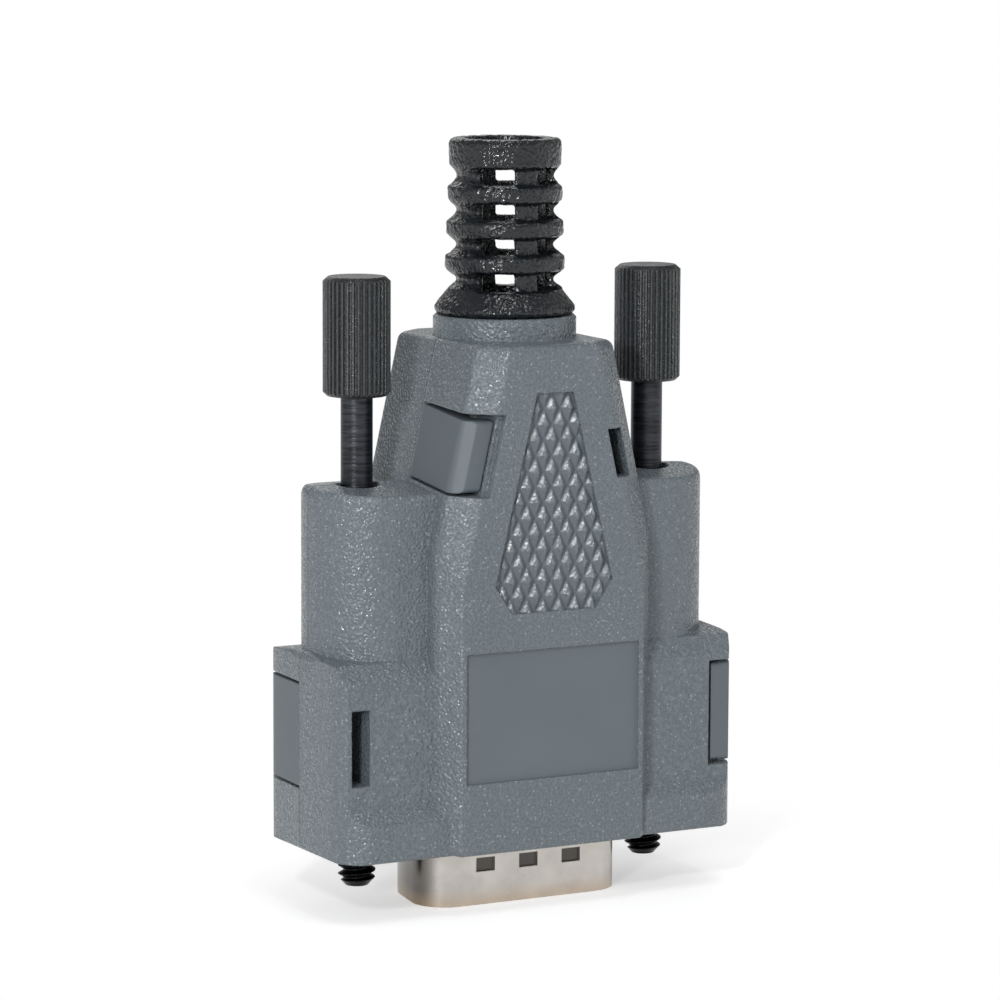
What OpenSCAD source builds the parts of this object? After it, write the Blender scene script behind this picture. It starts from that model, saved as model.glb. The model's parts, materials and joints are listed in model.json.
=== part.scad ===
// Nine-way D-sub hood: two identical snap-together half shells, a slotted
// strain-relief boot, two captive jackscrews and the plug connector they hold.
// The origin is the centre of the plug shell's rim. +Z runs to the cable exit,
// X runs along the row of contacts and -Y is the face with the label recess.

/* [Connector] */
// Distance between the two jackscrew axes
screw_pitch = 24.99; // [24:0.01:26]
// Outer width of the plug shell across its wide side
plug_w = 16.92; // [16:0.01:17.8]
// Outer depth of the plug shell
plug_d = 8.36; // [7.4:0.01:9]
// Height of the plug shell from its rim to the flange
plug_h = 5.9; // [5:0.1:7]
// Radius of the plug shell's four upright corners
plug_r = 2.6; // [1.8:0.1:3]
// Lean of the plug shell's short sides
plug_slant = 10; // [6:0.5:12]
// Thickness of the shell's sheet steel
sheet_t = 0.45; // [0.3:0.05:0.6]
// Length of the connector's flange
flange_w = 30.81; // [30:0.01:31.5]
// Depth of the connector's flange
flange_d = 12.5; // [12:0.1:13]
// Diameter of the two holes in the flange
flange_hole_d = 3.05; // [3:0.05:3.4]
// Distance between neighbouring contacts in a row
pin_pitch = 2.77; // [2.6:0.01:2.8]
// Distance between the two rows of contacts
row_gap = 2.84; // [2.6:0.01:3]
// Diameter of a contact pin
pin_d = 1.0; // [0.8:0.05:1.1]
// Depth of the pin tips below the plug shell's rim
pin_recess = 0.9; // [0.4:0.1:1.4]

/* [Hood] */
// Length of the hood's flange end to end
hood_w = 33.8; // [33.6:0.1:38]
// Depth of the hood from front face to rear face
hood_d = 16; // [15:0.1:20]
// Height of the hood from its mating face to the shoulder
hood_h = 38.05; // [34:0.1:46]
// Thickness of the lip in front of the connector's flange
lip_t = 1.22; // [0.8:0.02:1.6]
// Wall thickness
wall = 1.4; // [1:0.1:1.6]
// Width of the straight lower body
body_w = 18.4; // [17:0.1:19]
// Width of the neck at the shoulder
neck_w = 11.56; // [11:0.1:13]
// Height above the mating face at which the body starts to narrow
taper_h = 22.9; // [20:0.1:25]
// Width of the bevel between side and front faces
bevel_w = 1.7; // [1:0.1:2]
// Radius of the moulded edges
edge_r = 0.35; // [0.1:0.05:0.5]
// Radius of the long edges between sides and bevels
bevel_r = 1.2; // [0.4:0.1:1.4]
// Radius of the shoulder's edges
shoulder_r = 0.8; // [0.4:0.1:1]
// Outer radius of the collar round the cable exit
collar_r = 5.42; // [5.2:0.02:6]
// Height of the collar above the shoulder
collar_h = 1.62; // [1:0.1:3]

/* [Jackscrew barrels] */
// Radius of a barrel's round outer side
barrel_r = 5.05; // [5:0.05:5.5]
// Distance of a barrel's round side's centre from its jackscrew, towards the body
barrel_shift = 1; // [0.6:0.1:1.2]
// Height of the barrels above the mating face
barrel_h = 27.5; // [25:0.1:29]
// Diameter of the hole in a barrel's top
barrel_hole_d = 3.5; // [3.1:0.1:4]
// Diameter of the room in which the retaining ring travels
ring_room_d = 6.6; // [4.8:0.1:7]
// Height of that room
ring_room_h = 9; // [8.4:0.1:10]

/* [Hood flange] */
// Height of the thick skirt round the connector's flange
skirt_h = 2.75; // [2.5:0.05:3.2]
// Depth of the skirt from the parting plane
skirt_y = 7.3; // [7.2:0.05:7.6]
// Depth of the flange's panel from the parting plane
panel_y = 6.2; // [6:0.05:6.8]
// Height of the panel's upper edge above the mating face
panel_h = 13.3; // [12.9:0.1:14]
// Height of the hood's flange
flange_top_h = 15.2; // [15:0.05:16.5]
// Corner radius of the hood's flange seen from the cable end
flange_r = 3; // [1.5:0.1:3.2]

/* [Label and grip] */
// Width of the label recess
label_w = 14.7; // [10:0.1:15]
// Height of the label recess
label_h = 9.8; // [6:0.1:10.5]
// Height of the label recess's lower edge above the mating face
label_z = 5.45; // [4:0.05:7]
// Depth of the label recess
label_t = 0.25; // [0.1:0.05:0.4]
// Width of the grip panel at its foot
grip_w = 10; // [8:0.1:10.4]
// Width of the grip panel at its top
grip_top_w = 3.1; // [2.4:0.1:4]
// Height of the grip panel
grip_h = 16.4; // [13:0.1:17]
// Height of the grip panel's foot above the mating face
grip_z = 18.05; // [17:0.05:20]
// Depth of the grip panel
grip_t = 0.5; // [0.3:0.05:0.6]
// Distance between neighbouring grip pyramids in a row
grip_pitch_x = 1.37; // [1:0.01:1.8]
// Distance between rows of grip pyramids
grip_pitch_z = 1.17; // [0.9:0.01:1.5]

/* [Snap tabs] */
// Thickness of the four snap tabs
tab_t = 1.2; // [0.9:0.05:1.3]
// Height of the tabs at the flange ends
end_tab_h = 7.7; // [6:0.1:8]
// Height of the end tabs' lower edge above the mating face
end_tab_z = 4.95; // [4.4:0.05:5.2]
// Height of the tabs at the neck
neck_tab_h = 5.3; // [4:0.1:5.4]
// Height of the neck tabs' lower edge above the mating face
neck_tab_z = 27.85; // [27.6:0.05:28.6]
// Fall of the neck tabs' upper and lower edges per millimetre of reach
tab_fall = 0.095; // [0:0.005:0.12]
// Gap between a tab and the edge of its window
tab_gap = 0.22; // [0.15:0.01:0.35]

/* [Boot] */
// Height of the boot above the collar
boot_h = 13.3; // [12:0.1:16]
// Radius of the boot's top ring
boot_top_r = 4.27; // [4:0.01:4.6]
// Radius of the boot's lowest ring
boot_low_r = 4.56; // [4.3:0.01:4.9]
// Radius of the boot's flared foot
boot_foot_r = 5.38; // [5.1:0.01:5.4]
// Radius of the cable bore
boot_bore_r = 3; // [2.6:0.05:3.4]
// Height of one of the three middle rings
ring_h = 1.15; // [0.9:0.05:1.4]
// Distance from one middle ring to the next
ring_pitch = 2.6; // [2.4:0.05:3]
// Height of the boot's top ring
top_ring_h = 2.15; // [1.6:0.05:2.6]
// Half angle of the boot's two side webs
side_web = 30; // [20:1:38]
// Half angle of the boot's front and rear webs
thin_web = 16; // [8:1:18]

/* [Jackscrews] */
// Length of a jackscrew with its knob
jack_h = 46; // [44:0.1:50]
// Depth of the jackscrew tips behind the plug shell's rim
tip_z = 1.65; // [1:0.05:3]
// Diameter of the jackscrew's shank
shank_d = 2.4; // [2.2:0.02:2.5]
// Major diameter of the jackscrew's thread
thread_d = 2.84; // [2.6:0.02:2.9]
// Length of the thread
thread_h = 4.1; // [3.6:0.1:4.2]
// Diameter of the knob over its ridges
knob_d = 5.06; // [4.6:0.02:5.4]
// Height of the knob
knob_h = 8.9; // [8:0.1:9.4]
// Number of ridges round the knob
knob_ridges = 38; // [24:1:48]
// Diameter of the retaining ring
ring_d = 4.3; // [3.8:0.1:4.4]
// Thickness of the retaining ring
ring_t = 0.6; // [0.4:0.05:0.8]

/* [Cable clamp] */
// Thickness of the clamp straps
strap_t = 0.8; // [0.6:0.05:1]
// Width of the clamp straps along the cable
strap_w = 3.2; // [2.6:0.1:3.6]
// Length of the clamp straps
strap_l = 13.6; // [13.2:0.1:13.6]
// Height of the clamp's middle above the mating face
clamp_h = 24.2; // [20:0.1:24.2]
// Diameter of the clamp screws
clamp_screw_d = 2; // [1.6:0.1:2.2]

/* [Hidden] */
$fn = 48;

hood_grey = "#6c757a";
knob_grey = "#3c4144";
boot_black = "#2d3236";
nickel = "#cdc8c3";
// Clearances: round a seated piece, in a bonded joint; and the overshoot of a cut
clear = 0.05;
bond = 0.02;
past = 1;

// Heights above the rim
hood_z = plug_h - lip_t;
shoulder_z = hood_z + hood_h;
taper_z = hood_z + taper_h;
barrel_z = hood_z + barrel_h;
collar_z = shoulder_z + collar_h;
flange_z = plug_h;
flange_top = flange_z + 2 * sheet_t;
slot_top = flange_top + clear;
half_d = hood_d / 2;
bevel_y = half_d - bevel_w;
side_lean = (body_w - neck_w) / 2 / (shoulder_z - taper_z);
barrel_x = screw_pitch / 2 - barrel_shift;
shank_x = screw_pitch / 2;

// Pieces of the connector
tub_w = 19;
tub_d = 10.6;
tub_h = 3.7;
insulator_w = tub_w - 2 * sheet_t - 2 * clear;
insulator_d = tub_d - 2 * sheet_t - 2 * clear;
front_insulator_h = 2.2;
insulator_split = flange_z + sheet_t + front_insulator_h;
insulator_top = flange_top + tub_h + 0.4;
cup_h = 3.1;
cup_d = 1.9;
pin_collar_d = 1.5;

// Pieces of the hood
mouth_w = flange_w - 2.4;
mouth_d = flange_d - 2.4;
guide_d = shank_d + 2 * clear;
standoff_r = 2.8;
ring_room_top = barrel_z - 1.45;
ring_room_z = ring_room_top - ring_room_h;
boot_neck_r = 4.1;
boot_flange_r = 4.9;
boot_flange_h = 1.1;
boot_flange_z = shoulder_z - wall - boot_flange_h - 0.3;
clamp_z = hood_z + clamp_h;
top_fall = 0.5;
end_draft = 0.4;
hook_t = 0.45;
end_hook_t = 0.7;
hook_y = 3.4;
end_tab_y = 5.9;
neck_tab_y = half_d - 0.9;
tab_end_t = 2.3;
core_t = 1.2;

// Jackscrews
jack_top = tip_z + jack_h;
knob_z = jack_top - knob_h;
ring_z = ring_room_top - 0.6 - ring_t;
groove_r = 0.95;
rod_in_knob = 6.5;

// --- Outline helpers -------------------------------------------------------

function unit(v) = v / norm(v);
function left_of(v) = [-v[1], v[0]];

// Corner b of an anticlockwise outline, moved inwards by t from both its edges
function inset_corner(a, b, c, t) =
    let (m = left_of(unit(b - a)), n = left_of(unit(c - b)))
    b + t * (m + n) / (1 + m * n);

// Convex anticlockwise outline, moved inwards by t
function inset(points, t) =
    let (n = len(points))
    [for (i = [0:n - 1]) inset_corner(points[(i + n - 1) % n], points[i], points[(i + 1) % n], t)];

// Arc of radius r that rounds corner b between a and c, in steps pieces
function corner_arc(a, b, c, r, steps = 6) =
    let (
        m = left_of(unit(b - a)),
        n = left_of(unit(c - b)),
        turn = sign(m[0] * n[1] - m[1] * n[0]),
        angle = acos(m * n),
        centre = b + turn * r * (m + n) / (1 + m * n)
    )
    [for (i = [0:steps])
        centre - turn * r * (m * sin((1 - i / steps) * angle) + n * sin(i / steps * angle)) / sin(angle)];

// Outline whose corner i is rounded to radii[i], or left sharp where that is 0
function rounded(points, radii) =
    let (n = len(points))
    [for (i = [0:n - 1])
        each radii[i] == 0 ? [points[i]]
            : corner_arc(points[(i + n - 1) % n], points[i], points[(i + 1) % n], radii[i])];

// Half width of the body at height z on the parting plane
function body_x(z) = z < taper_z ? body_w / 2 : body_w / 2 - (z - taper_z) * side_lean;

// Symmetric outline from its right-hand points, lowest first
function mirrored(points) =
    concat(points, [for (i = [len(points) - 1:-1:0]) [-points[i][0], points[i][1]]]);

// --- Half shell ------------------------------------------------------------

front_taper_z = taper_z - 3;
front_x = body_w / 2 - 1.45;
side_outline = mirrored([[body_w / 2, hood_z], [body_w / 2, taper_z], [neck_w / 2, shoulder_z]]);
front_outline = mirrored([[front_x, hood_z], [front_x, front_taper_z],
    [neck_w / 2 - 1.94, shoulder_z]]);

// Prism of an XZ outline that reaches from y0 back to y1
module prism(points, y0, y1) {
    translate([0, y1, 0]) rotate([90, 0, 0]) linear_extrude(y1 - y0) polygon(points);
}

// Prism of a YZ outline that reaches from x0 to x1
module side_prism(points, x0, x1) {
    translate([x0, 0, 0]) rotate([90, 0, 90]) linear_extrude(x1 - x0) polygon(points);
}

// Block from corner to corner
module block(low, high) {
    translate(low) cube(high - low);
}

// Tapered body of both halves, moved inwards by t, with rounded edges: r round
// the front face, side_r along the bevels and top_r round the shoulder
module body_form(t, r, side_r, top_r) {
    hull() {
        prism(rounded(inset(side_outline, t), [0, 0, top_r / 2, top_r / 2, 0, 0]), -0.01, 0.01);
        for (i = [0:5]) {
            at_top = i == 2 || i == 3;
            corner_r = at_top ? top_r : side_r;
            front_r = at_top ? top_r : r;
            p = inset(side_outline, t + corner_r)[i];
            q = inset(front_outline, 0.75 * t + 0.45 * front_r)[i];
            low = hood_z + t + front_r;
            high = shoulder_z - t - front_r;
            for (side = [-1, 1]) {
                translate([p[0], side * (bevel_y - 0.41 * (t + corner_r)), p[1]]) sphere(corner_r, $fn = 24);
                translate([q[0], side * (half_d - t - front_r), min(high, max(low, q[1]))])
                    sphere(front_r, $fn = 24);
            }
        }
    }
}

// Plan outline of the hood's flange
module flange_plan() {
    x = hood_w / 2;
    y = skirt_y;
    polygon(rounded([[x, -y], [x + end_draft, 0], [x, y], [-x, y], [-x - end_draft, 0], [-x, -y]],
        [flange_r, 0, flange_r, flange_r, 0, flange_r]));
}

// Flange: its plan outline, its stepped side view and its front view, crossed
module flange_form() {
    top = hood_z + flange_top_h;
    skirt = hood_z + skirt_h;
    panel = hood_z + panel_h;
    step = skirt_y - panel_y;
    end = hood_w / 2 + end_draft;
    end_r = 0.9;
    right = [[skirt_y, hood_z], [skirt_y, skirt], [panel_y, skirt + step], [panel_y, panel],
        [barrel_r + 0.05, top - top_fall], [0, top]];
    left = [for (i = [4:-1:0]) [-right[i][0], right[i][1]]];
    intersection() {
        translate([0, 0, hood_z]) linear_extrude(flange_top_h) flange_plan();
        side_prism(rounded(concat(right, left), [0.4, 0.3, 0.15, 0.35, 0.2, 0, 0.2, 0.35, 0.15, 0.3, 0.4]),
            -hood_w, hood_w);
        prism(rounded([[-end, hood_z], [end, hood_z], [end, top], [-end, top]],
            [0.6, 0.6, end_r, end_r]), -hood_d, hood_d);
    }
}

// One jackscrew barrel: round outer side, flats that run into the body
module barrel_form(side) {
    fillet = 0.6;
    foot = hood_z + flange_top_h - past;
    low_top = barrel_z - top_fall;
    intersection() {
        union() {
            translate([side * barrel_x, 0, foot]) rotate_extrude($fn = 96)
                polygon(rounded([[0, 0], [barrel_r, 0], [barrel_r, barrel_z - foot],
                    [0, barrel_z - foot]], [0, 0, fillet + 0.3, 0]));
            block([min(side * barrel_x, 0), -barrel_r, foot], [max(side * barrel_x, 0), barrel_r, barrel_z]);
        }
        side_prism(rounded([[barrel_r, foot], [barrel_r, low_top], [0, barrel_z], [-barrel_r, low_top],
            [-barrel_r, foot]], [0, fillet, 0, fillet, 0]), -hood_w, hood_w);
    }
}

// Collar round the cable exit
module collar_form() {
    lip = 0.2;
    h = collar_z - taper_z;
    translate([0, 0, taper_z]) rotate_extrude($fn = 96)
        polygon([[0, 0], [collar_r, 0], [collar_r, h - lip], [collar_r - lip, h], [0, h]]);
}

// Slab across X whose lower and upper edges climb along Y, with its y1 end rounded
module slanted(low, high, low_climb, high_climb, y0, y1, r) {
    side_prism(rounded([[y0, low + low_climb * y0], [y1, low + low_climb * y1],
        [y1, high + high_climb * y1], [y0, high + high_climb * y0]], [0, r, r, 0]), -hood_w, hood_w);
}

// Strip along the neck's right side, from depth_low to depth_high inside the
// body's side on the parting plane
module side_strip(depth_high, depth_low, y0, y1) {
    low = hood_z + neck_tab_z - 2;
    high = hood_z + neck_tab_z + neck_tab_h + 2;
    prism([[body_x(low) - depth_high, low], [body_x(low) - depth_low, low],
        [body_x(high) - depth_low, high], [body_x(high) - depth_high, high]], y0, y1);
}

// Everything of the front half, and the room that its two tabs take beyond it
module half_region() {
    low = hood_z + end_tab_z;
    neck_low = hood_z + neck_tab_z;
    far = hood_w;
    corner = 0.35;
    block([-far, -far, 0], [far, 0, 3 * far]);
    intersection() {
        block([-far, -past, low], [-hood_w / 2 + tab_t, end_tab_y, low + end_tab_h]);
        slanted(low, low + end_tab_h, 0, 0, -2 * past, end_tab_y, corner);
    }
    intersection() {
        union() {
            side_strip(tab_t, -past, -past, bevel_y - 0.3);
            side_strip(tab_end_t, -past, bevel_y - 0.6, neck_tab_y);
        }
        slanted(neck_low, neck_low + neck_tab_h, -tab_fall, -tab_fall, -2 * past, neck_tab_y, corner);
    }
}

// Grip panel outline, moved outwards by t
function grip_outline(t) =
    let (
        foot = hood_z + grip_z,
        corner = 2.1,
        side = 1.45
    )
    inset(mirrored([[grip_w / 2 - side, foot], [grip_w / 2, foot + corner],
        [grip_top_w / 2, foot + grip_h]]), -t);

// Slab of V-shaped ridges that run at an angle to the Z axis
module ridges(angle, pitch) {
    count = ceil(grip_h / pitch);
    teeth = [for (i = [-count:count]) each [[(i - 0.5) * pitch, 0], [i * pitch, -grip_t]]];
    ends = [[(count + 0.5) * pitch, 0], [(count + 0.5) * pitch, past], [-(count + 0.5) * pitch, past]];
    translate([0, -half_d + grip_t + 0.04, hood_z + grip_z + grip_h / 2]) rotate([0, angle, 0])
        translate([0, 0, -grip_h]) linear_extrude(2 * grip_h) polygon(concat(teeth, ends));
}

// Field of grip pyramids: two slabs of ridges that cross
module grip_pyramids() {
    lean = atan(grip_pitch_x / 2 / grip_pitch_z);
    pitch = grip_pitch_x * cos(lean);
    intersection() {
        ridges(lean, pitch);
        ridges(-lean, pitch);
        prism(grip_outline(0.1), -half_d, -half_d + grip_t + 0.3);
    }
}

// Room in the wall for the other half's neck tab
module neck_window() {
    low = hood_z + neck_tab_z - tab_gap;
    high = low + neck_tab_h + 2 * tab_gap;
    intersection() {
        mirror([1, 0, 0]) union() {
            side_strip(wall + 0.2, -hood_w, -bevel_y + 0.1, past);
            side_strip(tab_end_t + 0.5, -hood_w, -hood_d, -bevel_y + 0.7);
        }
        slanted(low, high, tab_fall, tab_fall / 2, -hood_d, 2 * past, 0);
    }
}

// Catch behind the neck window, on a post from the front wall, with a notch
// for the other tab's hook
module neck_catch() {
    low = hood_z + neck_tab_z - 1;
    high = low + neck_tab_h + 2;
    intersection() {
        mirror([1, 0, 0]) difference() {
            union() {
                side_strip(wall + 1.1, wall + 0.2, -bevel_y + 0.9, -0.4);
                side_strip(tab_end_t + 1.3, tab_end_t + 0.1, -half_d + wall / 2, -bevel_y + 1.8);
            }
            side_strip(wall + 0.6, 0, -hook_y - 1.15, -hook_y + 0.15);
        }
        block([-hood_w, -hood_d, low], [hood_w, hood_d, high]);
    }
}

// Hook on the inner side of the neck tab
module neck_hook() {
    low = hood_z + neck_tab_z + 0.5;
    high = low + neck_tab_h - 1.3;
    intersection() {
        side_strip(tab_t + hook_t, tab_t - 0.3, hook_y, hook_y + 1);
        block([0, 0, low], [hood_w, hood_d, high]);
    }
}

// Hook on the inner side of the end tab
module end_hook() {
    low = hood_z + end_tab_z + 0.05;
    high = low + end_tab_h - 0.1;
    x = -hood_w / 2 + tab_t;
    intersection() {
        block([x - 0.3, end_tab_y - 1.4, low], [x + end_hook_t, end_tab_y, high]);
        slanted(low, high, 0, 0, -past, end_tab_y, 0.35);
    }
}

// Room in the flange end for the other half's end tab, round a catch
module end_window() {
    low = hood_z + end_tab_z - tab_gap;
    high = low + end_tab_h + 2 * tab_gap;
    x = hood_w / 2;
    catch_x = x - tab_t - 0.12;
    block([catch_x, -hood_d, low], [x + past, past, high]);
    block([catch_x - 0.95, -hood_d, low], [x + past, -end_tab_y + 1.5, high]);
}

// Openings that the mould's cores leave behind the half's own tabs
module core_openings() {
    low = hood_z + neck_tab_z - 0.05;
    intersection() {
        side_strip(tab_t + 1.57, tab_t + 0.15, -hood_d, -bevel_y + wall);
        block([0, -hood_d, low], [hood_w, past, low + 3.7]);
    }
    x = -hood_w / 2 + tab_t;
    z = hood_z + end_tab_z + 0.8;
    block([x, -hood_d, z], [x + core_t, past, z + 5.7]);
    block([x - 0.3, -hood_d, z], [x + core_t, -1.4, z + 5.7]);
}

// Room for the connector: mouth, flange slot and rear body
module connector_room() {
    y = past;
    block([-mouth_w / 2, -mouth_d / 2, hood_z - past], [mouth_w / 2, y, flange_z]);
    block([-flange_w / 2 - clear, -flange_d / 2 - clear, flange_z - clear],
        [flange_w / 2 + clear, y, slot_top]);
    block([-tub_w / 2 - 0.3, -tub_d / 2 - 0.3, flange_z],
        [tub_w / 2 + 0.3, y, insulator_top + 0.3]);
    // the mating connector's standoffs reach the flange through the lip
    for (side = [-1, 1]) translate([side * shank_x, 0, hood_z - past])
        cylinder(r = standoff_r, h = lip_t + past);
}

// Room for one jackscrew: guide, ring room and top hole
module jackscrew_room(side) {
    translate([side * shank_x, 0, slot_top - 0.1]) cylinder(d = guide_d, h = ring_room_z - slot_top + past);
    translate([side * shank_x, 0, ring_room_z]) cylinder(d = ring_room_d, h = ring_room_h);
    translate([side * shank_x, 0, ring_room_top - past]) cylinder(d = barrel_hole_d, h = past + wall + 1);
}

// Room for the boot's neck and flange
module boot_room() {
    translate([0, 0, boot_flange_z - clear])
        cylinder(r = boot_flange_r + clear, h = boot_flange_h + 2 * clear);
    translate([0, 0, boot_flange_z]) cylinder(r = boot_neck_r + clear, h = hood_h);
}

// Ribs that hold the cable clamp's ears against a pull on the cable
module clamp_ribs() {
    rib_t = 1;
    for (side = [-1, 1], z = [clamp_z - strap_w / 2 - rib_t - 0.1, clamp_z + strap_w / 2 + 0.1]) {
        inner = strap_l / 2 - 1.2;
        outer = body_x(z + rib_t) - bevel_w - 0.1;
        block([min(side * inner, side * outer), -half_d + wall / 2, z],
            [max(side * inner, side * outer), -0.05, z + rib_t]);
    }
}

module half_shell() {
    difference() {
        union() {
            difference() {
                intersection() {
                    union() {
                        body_form(0, edge_r, bevel_r, shoulder_r);
                        flange_form();
                        for (side = [-1, 1]) barrel_form(side);
                        collar_form();
                    }
                    half_region();
                }
                intersection() {
                    body_form(wall, 0.1, 0.1, 0.1);
                    block([-hood_w, -hood_d, slot_top], [hood_w, hood_d, boot_flange_z + past / 2]);
                }
                prism(grip_outline(0), -hood_d, -half_d + grip_t);
                block([-label_w / 2, -hood_d, hood_z + label_z],
                    [label_w / 2, -half_d + label_t, hood_z + label_z + label_h]);
                neck_window();
                end_window();
            }
            clamp_ribs();
            neck_catch();
            neck_hook();
            end_hook();
        }
        core_openings();
        connector_room();
        for (side = [-1, 1]) jackscrew_room(side);
        boot_room();
    }
    grip_pyramids();
}

module front_shell() {
    color(hood_grey) half_shell();
}

module rear_shell() {
    color(hood_grey) rotate([0, 0, 180]) half_shell();
}

// --- Boot ------------------------------------------------------------------

boot_top = collar_z + boot_h;
foot_top = boot_top - top_ring_h - 3 * ring_pitch - (ring_pitch - ring_h);
ring_gap = ring_pitch - ring_h;

// Radius of ring i, counted from the lowest
function boot_ring_r(i) = boot_low_r + (boot_top_r - boot_low_r) * i / 3;

module strain_relief_boot() {
    soft = 0.3;
    flare = 0.16;
    web_r = boot_bore_r + 0.7;
    color(boot_black) difference() {
        union() {
            // flange under the shoulder, neck through the collar, flared foot
            translate([0, 0, boot_flange_z]) cylinder(r = boot_flange_r, h = boot_flange_h);
            translate([0, 0, boot_flange_z]) cylinder(r = boot_neck_r, h = foot_top - boot_flange_z);
            translate([0, 0, collar_z]) rotate_extrude($fn = 72)
                polygon(rounded([[0, clear], [boot_foot_r - 0.25, clear], [boot_foot_r, 0.35],
                    [boot_foot_r, 0.6], [boot_low_r, 1.65], [boot_low_r - 0.25, foot_top - collar_z],
                    [0, foot_top - collar_z]], [0, 0.1, 0.15, 0.25, 0.6, 0.12, 0]));
            for (i = [0:2]) translate([0, 0, foot_top + ring_gap + i * ring_pitch])
                rotate_extrude($fn = 72) polygon(rounded([[0, -flare], [web_r, -flare], [boot_ring_r(i), 0],
                    [boot_ring_r(i), ring_h], [web_r, ring_h + flare], [0, ring_h + flare]],
                    [0, 0, soft, soft, 0, 0]));
            translate([0, 0, boot_top - top_ring_h]) rotate_extrude($fn = 72)
                polygon(rounded([[0, -flare], [web_r, -flare], [boot_ring_r(3), 0],
                    [boot_ring_r(3), top_ring_h], [0, top_ring_h]], [0, 0, soft, 0.45, 0]));
            // side webs, waisted between the rings
            for (turn = [0, 180], i = [0:3])
                translate([0, 0, foot_top + i * ring_pitch]) rotate([0, 0, turn - side_web])
                    rotate_extrude(angle = 2 * side_web, $fn = 72)
                        polygon([[boot_bore_r - 0.2, -0.2], [boot_ring_r(i) - 0.1, -0.2],
                            [boot_ring_r(i) - 0.2, 0.1], [web_r, ring_gap / 2 - 0.15],
                            [web_r, ring_gap / 2 + 0.15], [boot_ring_r(i) - 0.2, ring_gap - 0.1],
                            [boot_ring_r(i) - 0.1, ring_gap + 0.2], [boot_bore_r - 0.2, ring_gap + 0.2]]);
            // thin front and rear webs, set back from the rings
            for (turn = [90, 270]) translate([0, 0, foot_top - 0.2]) rotate([0, 0, turn - thin_web])
                rotate_extrude(angle = 2 * thin_web, $fn = 72)
                    polygon([[boot_bore_r - 0.2, 0], [web_r - 0.1, 0],
                        [web_r - 0.1, boot_top - foot_top - 0.5],
                        [boot_bore_r - 0.2, boot_top - foot_top - 0.5]]);
        }
        translate([0, 0, boot_flange_z - past]) cylinder(r = boot_bore_r, h = boot_top);
    }
}

// --- Connector -------------------------------------------------------------

// Plug outline, moved inwards by t: wide side to the front, short sides leaning in
module plug_outline(t) {
    lean = plug_d * tan(plug_slant);
    x = plug_w / 2 + plug_r * (1 / cos(plug_slant) + tan(plug_slant) - 1) - t;
    y = plug_d / 2 - t;
    polygon(rounded([[-x, -y], [x, -y], [x - lean, y], [-x + lean, y]],
        [for (i = [0:3]) plug_r - t]));
}

// Sheet of the connector's flange with its two screw holes
module flange_sheet(z) {
    translate([0, 0, z]) linear_extrude(sheet_t) difference() {
        x = flange_w / 2;
        y = flange_d / 2;
        polygon(rounded([[-x, -y], [x, -y], [x, y], [-x, y]], [2, 2, 2, 2]));
        for (side = [-1, 1]) translate([side * shank_x, 0]) circle(d = flange_hole_d);
    }
}

// Dents pressed into the plug shell near its root
dent_w = 1.6;
dent_h = 1.05;
dent_z = plug_h - 2.8;
dent_pitch = 3.69;
dent_t = 0.22;

module plug_front_shell() {
    rim = 0.7;
    color(nickel) difference() {
        union() {
            difference() {
                union() {
                    flange_sheet(flange_z);
                    translate([0, 0, rim]) linear_extrude(plug_h - rim + 0.1) plug_outline(0);
                    hull() {
                        translate([0, 0, rim]) linear_extrude(0.01) plug_outline(0);
                        for (a = [15:15:75])
                            translate([0, 0, rim * (1 - cos(90 - a))]) linear_extrude(0.01)
                                plug_outline(rim * 0.5 * (1 - sin(a)));
                        linear_extrude(0.01) plug_outline(rim * 0.5);
                    }
                }
                translate([0, 0, -past]) linear_extrude(plug_h + 3) plug_outline(sheet_t);
            }
            // inner bump of each front and rear dent
            for (i = [-1, 0, 1], side = [-1, 1])
                translate([i * dent_pitch - dent_w / 2 + 0.15, side * (plug_d / 2 - sheet_t / 2) - sheet_t / 2,
                    dent_z - dent_h / 2 + 0.15])
                    translate([0, -side * dent_t, 0]) cube([dent_w - 0.3, sheet_t, dent_h - 0.3]);
        }
        for (i = [-1, 0, 1], side = [-1, 1])
            translate([i * dent_pitch - dent_w / 2, side * plug_d / 2 - dent_t, dent_z - dent_h / 2])
                cube([dent_w, 2 * dent_t, dent_h]);
    }
}

module plug_rear_shell() {
    color(nickel) difference() {
        union() {
            flange_sheet(flange_z + sheet_t);
            block([-tub_w / 2, -tub_d / 2, flange_z + sheet_t],
                [tub_w / 2, tub_d / 2, flange_top + tub_h]);
        }
        block([-tub_w / 2 + sheet_t, -tub_d / 2 + sheet_t, flange_z - past],
            [tub_w / 2 - sheet_t, tub_d / 2 - sheet_t, insulator_top + past]);
    }
}

// Centre of contact i: five in the front row, four in the rear row
function pin_x(i) = i < 5 ? (i - 2) * pin_pitch : (i - 6.5) * pin_pitch;
function pin_y(i) = i < 5 ? -row_gap / 2 : row_gap / 2;

module pin_holes(d) {
    for (i = [0:8]) translate([pin_x(i), pin_y(i), 0]) cylinder(d = d, h = 2 * plug_h + tub_h);
}

module front_insulator() {
    color("#1b1d1f") difference() {
        union() {
            translate([0, 0, flange_z - 0.6]) linear_extrude(0.6 + sheet_t)
                plug_outline(sheet_t + clear);
            block([-insulator_w / 2, -insulator_d / 2, flange_z + sheet_t],
                [insulator_w / 2, insulator_d / 2, insulator_split]);
        }
        pin_holes(pin_d + 2 * clear);
        translate([0, 0, insulator_split - 0.6]) pin_holes(pin_collar_d + 2 * clear);
    }
}

module rear_insulator() {
    color("#1b1d1f") difference() {
        block([-insulator_w / 2, -insulator_d / 2, insulator_split],
            [insulator_w / 2, insulator_d / 2, insulator_top]);
        pin_holes(pin_collar_d + 2 * clear);
    }
}

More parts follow.
